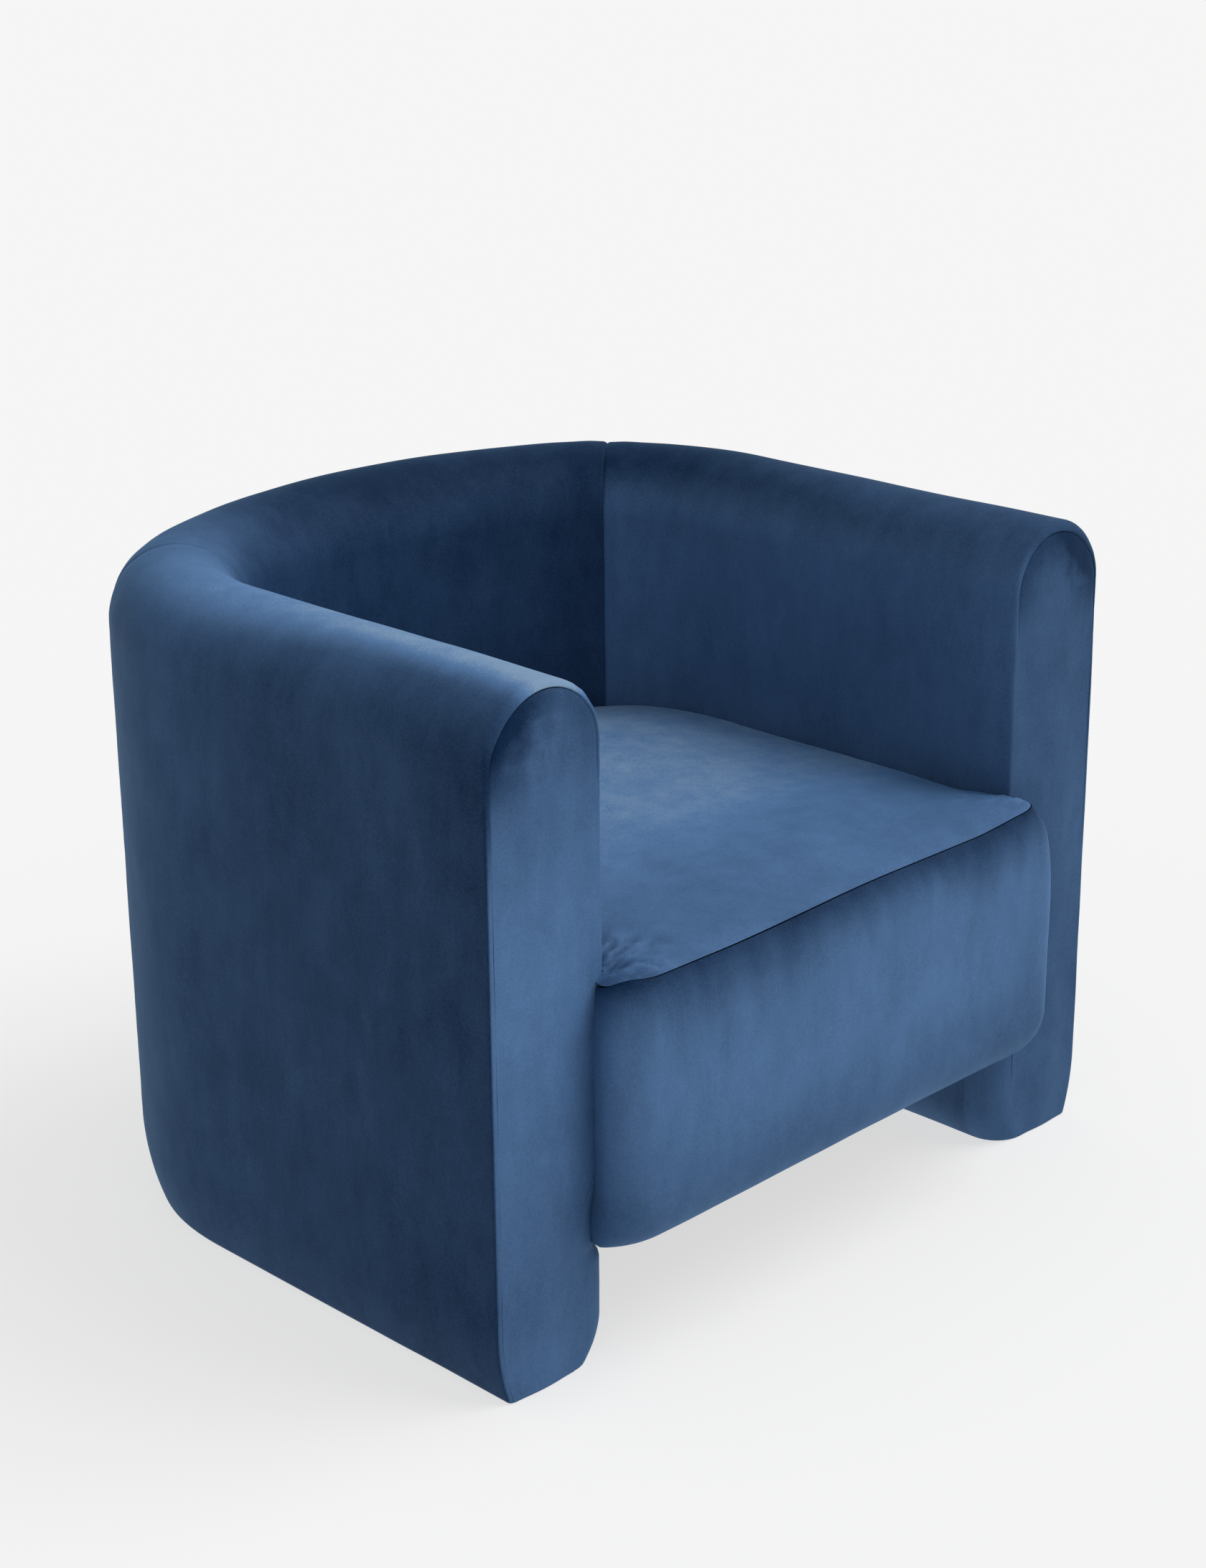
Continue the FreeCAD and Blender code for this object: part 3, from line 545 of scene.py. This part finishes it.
def rear_line():
    """Plan line along the back of the seat, from the sitter's right to their left."""
    corner = [(CORNER_X + CORNER_INNER * math.cos(a), CORNER_Y + CORNER_INNER * math.sin(a))
              for a in np.linspace(0, JOIN, 40)]
    sweep = [(SWEEP_INNER * math.cos(a), SWEEP_Y + SWEEP_INNER * math.sin(a))
             for a in np.linspace(JOIN, math.pi - JOIN, 60)[1:]]
    other_corner = [(-x, y) for x, y in corner[::-1][1:]]
    return np.array(corner + sweep + other_corner)[::-1]


def wall_gap(x, y):
    """Distance from a seat point to the inner wall."""
    corner = CORNER_INNER - np.hypot(np.abs(x) - CORNER_X, y - CORNER_Y)
    sweep = SWEEP_INNER - np.hypot(x, y - SWEEP_Y)
    in_corner = (np.abs(x) > CORNER_X) & (np.arctan2(y - CORNER_Y, np.abs(x) - CORNER_X) < JOIN)
    rear = np.where(in_corner, corner, sweep)
    gap = np.where(y > CORNER_Y, rear, np.minimum(SEAT_EDGE - np.abs(x), sweep))
    return np.where(y < FRONT, 1.0, np.maximum(gap, 0))


SEAT_DOME = 0.024                         # how far the middle of the seat stands up
SEAT_LIP = 0.0085                         # swell just behind the front seam
EDGE_TURN = 0.013                         # the cloth turns down beside a wall over this width
CORNER_FOLD = 0.0036                      # size of the gathers at the drawn-down corners


def seat_plan():
    """Plan grid of the seat top, stretched between front seam, side walls and rear line."""
    front = seam_plan()
    across = run_along(front) / run_along(front)[-1]
    rear = resample(rear_line(), across)
    steps = spaced([0, 0.03, 0.12, 0.96, 1.0], [0.003, 0.006, 0.011, 0.004])
    side_y = FRONT + (CORNER_Y - FRONT) * steps
    ease = np.exp(-(side_y - FRONT) / 0.0022)
    sides = []
    for end in (front[0], front[-1]):
        wall_x = math.copysign(SEAT_EDGE, end[0])
        side_x = wall_x + (end[0] - wall_x) * ease
        sides.append(np.stack([side_x, side_y + (end[1] - FRONT) * ease], axis=1))
    a, b = across[None, :, None], steps[:, None, None]
    left, right = sides[0][:, None, :], sides[1][:, None, :]
    between = (1 - b) * front[None] + b * rear[None] + (1 - a) * left + a * right
    corners = ((1 - a) * (1 - b) * front[0] + a * (1 - b) * front[-1]
               + (1 - a) * b * rear[0] + a * b * rear[-1])
    plan = between - corners
    return plan[:, :, 0], plan[:, :, 1]


def corner_folds(flat):
    """Gathers that run in from the drawn-down front corners: how high, and the painted light and
    shade on them.
    """
    lift, nap_and_shading = np.zeros(len(flat)), np.zeros(len(flat))
    for side, size in ((-1, 1.0), (1, 0.5)):
        from_x, from_y = SEAM_HALF - side * flat[:, 0], flat[:, 1] - FRONT
        away = np.hypot(from_x, from_y)
        turn = np.arctan2(from_y, from_x)
        fold = np.array([noise.noise(Vector((t * 5.5, 2.2 + side, d * 40)))
                         + 0.6 * noise.noise(Vector((t * 13, 6.2 + side, d * 90)))
                         for t, d in zip(turn, away)])
        lift += CORNER_FOLD * size * fold * bump(away - 0.035, 0.036)
        nap_and_shading += 0.50 * size * fold * bump(away - 0.030, 0.040)
    return lift, nap_and_shading


def seat_top(name):
    """Top of the seat: a low dome, down to the seam in front and turned down at the walls."""
    x, y = seat_plan()
    sideways = np.clip(np.abs(x) / SEAT_EDGE, 0, 1)
    dome = SEAT_DOME * (1 - sideways ** 2.4) * smooth(BACK - WALL, 0.10, y)
    to_front = np.maximum(behind_seam(x, y), 0)
    near = smooth(0.110, 0.0, to_front)
    lip = SEAT_LIP * (1 - np.exp(-to_front / 0.014))
    surface = (wall_height(y) + dome) * (1 - near) + (seam_level(x) + lip) * near - ear_drop(x, y)
    turn = np.clip(wall_gap(x, y) / EDGE_TURN, 0, 1)
    drop = EDGE_TURN * (1 - np.sqrt(1 - (1 - turn) ** 2)) * smooth(FRONT, FRONT + 0.020, y)
    flat = np.dstack([x, y, surface - drop]).reshape(-1, 3)
    fold_lift, fold_shading = corner_folds(flat)
    lift = cloud_noise(flat, 0.13, 3, seed=8.0) * 0.0014 + fold_lift
    flat[:, 2] += lift * smooth(0.0, 0.010, to_front.reshape(-1))
    # painted light: the seat grows lighter towards the back against the shade of the walls, past 1
    # into a painted sheen highlight, and a little darker on the sitter's right
    nap_and_shading = (0.70 + 0.44 * smooth(-0.36, -0.12, y) + 0.34 * smooth(0.04, 0.28, y)
           - 0.06 * smooth(-0.10, -0.28, x))
    return mesh_object(name, flat, grid_faces(*x.shape), nap_and_shading.reshape(-1) + fold_shading)


NOSE_PROUD = 0.0015                       # the nose stands this far in front of seam and foam
NOSE_TURN = 0.036                         # it turns from the seam into its face over this height
BELLY = NOSE_REACH - 0.002                # rounding of its underside


def nose_rows():
    """Rows of the nose from the seam down and under, each (fall, lift, shape of its plan line).

    fall is measured down from the seam, lift up from the nose's lowest line; one of them is None.
    """
    at_seam = np.array([SEAM_HALF, SEAM_REACH + NOSE_PROUD, SEAM_CORNER, SEAM_POWER, SEAM_PINCH])
    full = np.array([NOSE_HALF, NOSE_REACH + NOSE_PROUD, 0.050, 3.0, 0.010])
    rows = []
    for fall in (0.0, 0.0012, 0.0030, 0.0055, 0.009, 0.013, 0.018, 0.024, 0.030, NOSE_TURN):
        open_up = (1 - fall / NOSE_TURN) ** 2
        rows.append((fall, None, full - (full - at_seam) * open_up))
    for part in np.linspace(1, 0, 40)[1:]:
        rows.append((None, BELLY + part, full))
    for turn in np.linspace(0, math.pi / 2, 18)[1:]:
        down, under = math.sin(turn), 1 - math.cos(turn)
        shape = full - [0.016 * under, (BELLY - 0.001) * under, 0.0, down, full[4] * down]
        rows.append((None, BELLY * (1 - down), shape))
    return rows


def nose_height(fall, lift, seam_z):
    """Height along one row of the nose. Its face, where lift is over BELLY, runs in even parts."""
    if fall is not None:
        return seam_z - fall
    if lift > BELLY:
        part = lift - BELLY
        return (seam_z - NOSE_TURN) * part + (NOSE_Z + BELLY) * (1 - part)
    return np.full(len(seam_z), NOSE_Z + lift)


def nose_points(seam_z):
    """Grid of points on the nose; each row's ends run back out of sight, into the arm fronts."""
    rows = nose_rows()
    points = np.empty((len(rows), len(seam_z) + 2, 3))
    for i, (fall, lift, shape) in enumerate(rows):
        plan, half = front_plan(*shape), shape[0]
        z = nose_height(fall, lift, seam_z)
        # the lower edge rises a little towards the sitter's left
        low = 1 - smooth(0.0, 0.2, z - NOSE_Z)
        z = z + low * (0.0045 * smooth(-0.25, 0.05, plan[:, 0]) - 0.0010)
        # and that end is as narrow as the seam at first
        shoulder = np.clip(1 - (seam_z - z) / 0.12, 0, 1) ** 2.4
        narrow = half - NOSE_HALF + (NOSE_HALF - SEAM_HALF + SEAM_SHY) * shoulder
        points[i, 1:-1, :2] = set_back(plan, np.maximum(narrow, 0), half)
        points[i, 1:-1, 2] = z
        for end, beside, side in ((0, 1, -1), (-1, -2, 1)):
            end_x = side * (abs(points[i, beside, 0]) - 0.004)
            points[i, end] = (end_x, FRONT + 0.030, points[i, beside, 2])
    return points


def nose_cover(name):
    """The padded front of the seat, gathered a little under its seam."""
    seam_z = seam_height(seam_plan())
    points = nose_points(seam_z)
    seam_z = np.concatenate([seam_z[:1], seam_z, seam_z[-1:]])
    x, y, z = points[:, :, 0], points[:, :, 1], points[:, :, 2]
    height = np.clip((z - NOSE_Z) / (SEAT_Z - NOSE_Z), 0, 1)
    middle = np.clip(1 - (np.abs(x) / NOSE_HALF) ** 2.6, 0, 1)
    outward = smooth(FRONT, NOSE_Y + 0.01, y)
    points[:, :, 1] -= 0.004 * middle * np.sin(math.pi * height) * outward
    flat = points.reshape(-1, 3)
    depth = (seam_z[None, :] - z).reshape(-1)
    gather = flat_noise(flat, 0.018, 1.7, 0.12)
    wave = cloud_noise(flat, 0.15, 2, seed=9.0) * 0.0012
    wave += 0.0008 * gather * np.exp(-depth / 0.035)
    flat = push(flat, points.shape, wave * smooth(0, 0.004, depth))
    # painted shade: a dark band under the seam, of uneven width
    broad = flat_noise(flat, 0.07, 5.7, 0.2)
    band = 0.033 * (1 + 0.40 * gather + 0.5 * broad + 0.4 * bump(flat[:, 0] + 0.16, 0.09))
    nap_and_shading = 0.76 - 0.66 * np.exp(-(depth / np.maximum(band, 0.01)) ** 1.3)
    # painted shade also makes it darker low down and towards both ends
    nap_and_shading -= 0.02 * smooth(-0.20, -0.31, flat[:, 0]) + 0.27 * smooth(0.28, 0.14, flat[:, 2])
    nap_and_shading -= 0.10 * smooth(0.20, 0.29, flat[:, 0])
    return mesh_object(name, flat, grid_faces(*points.shape[:2], flip=True), nap_and_shading)


# ---------------------------------------------------------------- build the covers
left_cover, left_rim = arm_panel("left_arm_cover", True)
right_cover, right_rim = arm_panel("right_arm_cover", False)
back_cover = back_panel("back_cover")
left_facing = facing("left_arm_facing", left_rim, True)
right_facing = facing("right_arm_facing", right_rim, False)
seat_cover = seat_top("seat_cover")
nose_piece = nose_cover("nose_cover")

STANDS_FOR = [
    (left_cover, ["velvet_left", "outer_wadding_left", "inner_foam_left", "roll_foam_left"]),
    (right_cover, ["velvet_right", "outer_wadding_right", "inner_foam_right", "roll_foam_right"]),
    (back_cover, ["velvet_back", "outer_wadding_back", "inner_foam_back", "roll_foam_back"]),
    (left_facing, ["velvet_front_left", "front_foam_left"]),
    (right_facing, ["velvet_front_right", "front_foam_right"]),
    (seat_cover, ["velvet_seat_top", "seat_wadding", "seat_foam"]),
    (nose_piece, ["velvet_nose", "nose_foam"]),
]
for piece, nodes in STANDS_FOR:
    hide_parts(*nodes)


# ---------------------------------------------------------------- materials
def new_material(name):
    """A node material, its nodes and its links."""
    material = bpy.data.materials.new(name)
    material.use_nodes = True
    return material, material.node_tree.nodes, material.node_tree.links


def texture(nodes, links, place, kind, scale, detail=3.0, rough=0.55, stretch=None):
    """Noise or wave texture in object space; stretch scales it along x, y, z."""
    node = nodes.new(kind)
    node.inputs["Scale"].default_value = scale
    node.inputs["Detail"].default_value = detail
    if "Roughness" in node.inputs:
        node.inputs["Roughness"].default_value = rough
    source = place.outputs["Object"]
    if stretch:
        mapping = nodes.new("ShaderNodeMapping")
        mapping.inputs["Scale"].default_value = stretch
        links.new(source, mapping.inputs["Vector"])
        source = mapping.outputs["Vector"]
    links.new(source, node.inputs["Vector"])
    return node.outputs["Fac"]


def maths(nodes, links, kind, first, second):
    """Math node; first and second are numbers or sockets."""
    node = nodes.new("ShaderNodeMath")
    node.operation = kind
    for socket, value in zip(node.inputs, (first, second)):
        if isinstance(value, (int, float)):
            socket.default_value = value
        else:
            links.new(value, socket)
    return node.outputs[0]


def times(nodes, links, value, amount):
    """value multiplied by amount."""
    return maths(nodes, links, "MULTIPLY", value, amount)


def about_zero(nodes, links, texture_value, amount):
    """A texture's value as a swing of up to half amount either way."""
    return times(nodes, links, maths(nodes, links, "SUBTRACT", texture_value, 0.5), amount)


def blend_colours(nodes, links, fac, dark, light, low, high):
    """Colour from dark to light as fac goes from low to high."""
    ramp = nodes.new("ShaderNodeValToRGB")
    ramp.color_ramp.elements[0].position = low
    ramp.color_ramp.elements[1].position = high
    ramp.color_ramp.elements[0].color = dark + (1,)
    ramp.color_ramp.elements[1].color = light + (1,)
    links.new(fac, ramp.inputs["Fac"])
    return ramp.outputs["Color"]


def relief(nodes, links, shader, height, distance, strength):
    """Small surface relief from a height socket."""
    node = nodes.new("ShaderNodeBump")
    node.inputs["Strength"].default_value = strength
    node.inputs["Distance"].default_value = distance
    links.new(height, node.inputs["Height"])
    links.new(node.outputs["Normal"], shader.inputs["Normal"])


def velvet(name):
    """Short-pile navy velvet. Its colour follows the pile and the painted light and shade on each
    piece, mottled by handling.
    """
    material, nodes, links = new_material(name)
    shader = nodes["Principled BSDF"]
    shader.inputs["Roughness"].default_value = 0.70
    shader.inputs["Specular IOR Level"].default_value = 0.10
    shader.inputs["Sheen Weight"].default_value = 0.17
    shader.inputs["Sheen Roughness"].default_value = 0.38
    shader.inputs["Sheen Tint"].default_value = (0.14, 0.50, 0.95, 1.0)
    place = nodes.new("ShaderNodeTexCoord")
    pile_and_shading = nodes.new("ShaderNodeAttribute")
    pile_and_shading.attribute_name = "nap_and_shading"
    clouds = texture(nodes, links, place, "ShaderNodeTexNoise", 7.0, 5.0, 0.62)
    brushed = texture(nodes, links, place, "ShaderNodeTexNoise", 36.0, 5.0, 0.68, (1.0, 1.0, 0.40))
    grain = texture(nodes, links, place, "ShaderNodeTexNoise", 520.0, 3.0, 0.6)
    uneven = maths(nodes, links, "ADD", about_zero(nodes, links, clouds, 0.60),
                   about_zero(nodes, links, brushed, 0.50))
    uneven = maths(nodes, links, "ADD", uneven, about_zero(nodes, links, grain, 0.60))
    # the dark pile shows less unevenness than the light
    shows = maths(nodes, links, "ADD", times(nodes, links, pile_and_shading.outputs["Fac"], 0.65), 0.35)
    tone = maths(nodes, links, "ADD", pile_and_shading.outputs["Fac"], times(nodes, links, uneven, shows))
    # the ramp runs from dark pile and painted shade through light, at 1, to a bleached painted
    # sheen highlight, at the top of the scale
    pile = nodes.new("ShaderNodeValToRGB")
    links.new(times(nodes, links, tone, 1 / PAINTED_SHEEN_TOP), pile.inputs["Fac"])
    pile.color_ramp.elements[0].color = (0.0006, 0.0150, 0.0520, 1)
    # the far end of the ramp is a bleached painted sheen highlight
    pile.color_ramp.elements[1].color = (0.200, 0.310, 0.460, 1)
    light = pile.color_ramp.elements.new(1 / PAINTED_SHEEN_TOP)
    light.color = (0.0920, 0.1910, 0.3800, 1)
    links.new(pile.outputs["Color"], shader.inputs["Base Color"])
    height = maths(nodes, links, "ADD", grain, times(nodes, links, brushed, 0.8))
    relief(nodes, links, shader, height, 0.0008, 0.35)
    return material


def plywood(name):
    """Birch plywood: long grain with a few darker streaks."""
    material, nodes, links = new_material(name)
    shader = nodes["Principled BSDF"]
    shader.inputs["Roughness"].default_value = 0.62
    place = nodes.new("ShaderNodeTexCoord")
    streaks = texture(nodes, links, place, "ShaderNodeTexNoise", 14.0, 6.0, 0.6, (1.0, 6.0, 9.0))
    colour = blend_colours(nodes, links, streaks, (0.42, 0.27, 0.14), (0.66, 0.49, 0.30),
                           0.30, 0.70)
    links.new(colour, shader.inputs["Base Color"])
    relief(nodes, links, shader, streaks, 0.0004, 0.3)
    return material


def timber(name):
    """Planed pine: growth rings as wavy bands along the board."""
    material, nodes, links = new_material(name)
    shader = nodes["Principled BSDF"]
    shader.inputs["Roughness"].default_value = 0.58
    place = nodes.new("ShaderNodeTexCoord")
    rings = texture(nodes, links, place, "ShaderNodeTexWave", 22.0, 3.0, stretch=(0.25, 1.0, 1.0))
    pores = texture(nodes, links, place, "ShaderNodeTexNoise", 90.0, 3.0, 0.6, (0.15, 1.0, 1.0))
    mixed = maths(nodes, links, "ADD", times(nodes, links, rings, 0.7),
                  times(nodes, links, pores, 0.3))
    colour = blend_colours(nodes, links, mixed, (0.45, 0.28, 0.13), (0.68, 0.50, 0.29), 0.15, 0.85)
    links.new(colour, shader.inputs["Base Color"])
    relief(nodes, links, shader, mixed, 0.0004, 0.3)
    return material


def lining(name):
    """Black non-woven dust cloth: fine random fibres."""
    material, nodes, links = new_material(name)
    shader = nodes["Principled BSDF"]
    shader.inputs["Roughness"].default_value = 0.92
    shader.inputs["Specular IOR Level"].default_value = 0.15
    place = nodes.new("ShaderNodeTexCoord")
    fibres = texture(nodes, links, place, "ShaderNodeTexNoise", 340.0, 4.0, 0.7)
    colour = blend_colours(nodes, links, fibres, (0.006, 0.006, 0.007), (0.035, 0.035, 0.038),
                           0.35, 0.70)
    links.new(colour, shader.inputs["Base Color"])
    relief(nodes, links, shader, fibres, 0.0005, 0.5)
    return material


def spring_steel(name):
    """Drawn spring wire with a dull zinc skin."""
    material, nodes, links = new_material(name)
    shader = nodes["Principled BSDF"]
    shader.inputs["Metallic"].default_value = 1.0
    place = nodes.new("ShaderNodeTexCoord")
    skin = texture(nodes, links, place, "ShaderNodeTexNoise", 160.0, 3.0, 0.6)
    colour = blend_colours(nodes, links, skin, (0.30, 0.31, 0.33), (0.52, 0.53, 0.55), 0.3, 0.7)
    links.new(colour, shader.inputs["Base Color"])
    rough = maths(nodes, links, "ADD", times(nodes, links, skin, 0.25), 0.28)
    links.new(rough, shader.inputs["Roughness"])
    return material


def nylon(name):
    """Moulded dark nylon glide, scuffed where it slides."""
    material, nodes, links = new_material(name)
    shader = nodes["Principled BSDF"]
    place = nodes.new("ShaderNodeTexCoord")
    scuffs = texture(nodes, links, place, "ShaderNodeTexNoise", 240.0, 4.0, 0.65)
    colour = blend_colours(nodes, links, scuffs, (0.010, 0.010, 0.011), (0.045, 0.045, 0.048),
                           0.35, 0.8)
    links.new(colour, shader.inputs["Base Color"])
    rough = maths(nodes, links, "ADD", times(nodes, links, scuffs, 0.3), 0.32)
    links.new(rough, shader.inputs["Roughness"])
    return material


velvet_cloth = velvet("navy_velvet")
for piece, _ in STANDS_FOR:
    piece.data.materials.append(velvet_cloth)

NODE_FINISHES = [
    (plywood("birch_plywood"), ("base_plate", "top_rail", "outer_liner", "inner_liner",
                                "front_board", "seat_front_board", "rear_deck_board")),
    (timber("pine"), ("stud", "seat_rail", "corner_block", "spring_cleat")),
    (lining("dust_cloth"), ("dust_cloth", "seat_dust_cloth", "deck_cloth")),
    (spring_steel("spring_wire"), ("seat_springs",)),
    (nylon("nylon_glide"), ("glides",)),
]
for finish, starts in NODE_FINISHES:
    for node_name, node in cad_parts.items():
        if node_name.startswith(starts):
            node.data.materials.clear()
            node.data.materials.append(finish)


# ---------------------------------------------------------------- floor, light, camera
def pale_floor():
    """Wide pale floor, with a little glow so that shadows on it stay soft."""
    size = 30.0                           # half its width
    mesh = bpy.data.meshes.new("floor")
    mesh.from_pydata([(-size, -size, 0), (size, -size, 0), (size, size, 0), (-size, size, 0)],
                     [], [(0, 1, 2, 3)])
    floor = bpy.data.objects.new("floor", mesh)
    bpy.context.scene.collection.objects.link(floor)
    material, nodes = new_material("pale_floor")[:2]
    shader = nodes["Principled BSDF"]
    shader.inputs["Base Color"].default_value = (0.27, 0.27, 0.27, 1)
    shader.inputs["Emission Color"].default_value = (1, 1, 1, 1)
    shader.inputs["Emission Strength"].default_value = 0.655
    shader.inputs["Roughness"].default_value = 0.9
    shader.inputs["Specular IOR Level"].default_value = 0.0
    floor.data.materials.append(material)


def sun_light(name, place, strength, spread):
    """Soft light from the direction of place."""
    lamp = bpy.data.lights.new(name, "SUN")
    lamp.energy = strength
    lamp.angle = spread
    light = bpy.data.objects.new(name, lamp)
    bpy.context.scene.collection.objects.link(light)
    light.location = place
    light.rotation_euler = (-Vector(place)).to_track_quat("-Z", "Y").to_euler()


def camera():
    """Camera at the photograph's angle, looking at target from azimuth and elevation."""
    azimuth, elevation, roll = (math.radians(angle) for angle in (-44.7929, 19.6231, -0.5591))
    target = Vector((0.1983, 0.1406, 0.3264))
    distance = 3.3109
    level = math.cos(elevation)
    back = Vector((math.sin(azimuth) * level, -math.cos(azimuth) * level, math.sin(elevation)))
    forward = -back
    right = forward.cross(Vector((0, 0, 1))).normalized()
    up = right.cross(forward)
    x_axis = math.cos(roll) * right + math.sin(roll) * up
    y_axis = -math.sin(roll) * right + math.cos(roll) * up
    lens = bpy.data.cameras.new("camera")
    lens.sensor_width = 36.0
    lens.lens = 66.474
    view = bpy.data.objects.new("camera", lens)
    bpy.context.scene.collection.objects.link(view)
    turn = Matrix((x_axis, y_axis, back)).transposed().to_4x4()
    view.matrix_world = Matrix.Translation(target + distance * back) @ turn
    bpy.context.scene.camera = view


pale_floor()
sun_light("key", (1.4, -1.0, 2.2), 1.7, math.radians(45))
camera()
world = bpy.data.worlds.new("studio")
bpy.context.scene.world = world
world.use_nodes = True
world.node_tree.nodes["Background"].inputs["Color"].default_value = (1, 1, 1, 1)
world.node_tree.nodes["Background"].inputs["Strength"].default_value = 0.55
bpy.context.scene.view_settings.view_transform = "Standard"
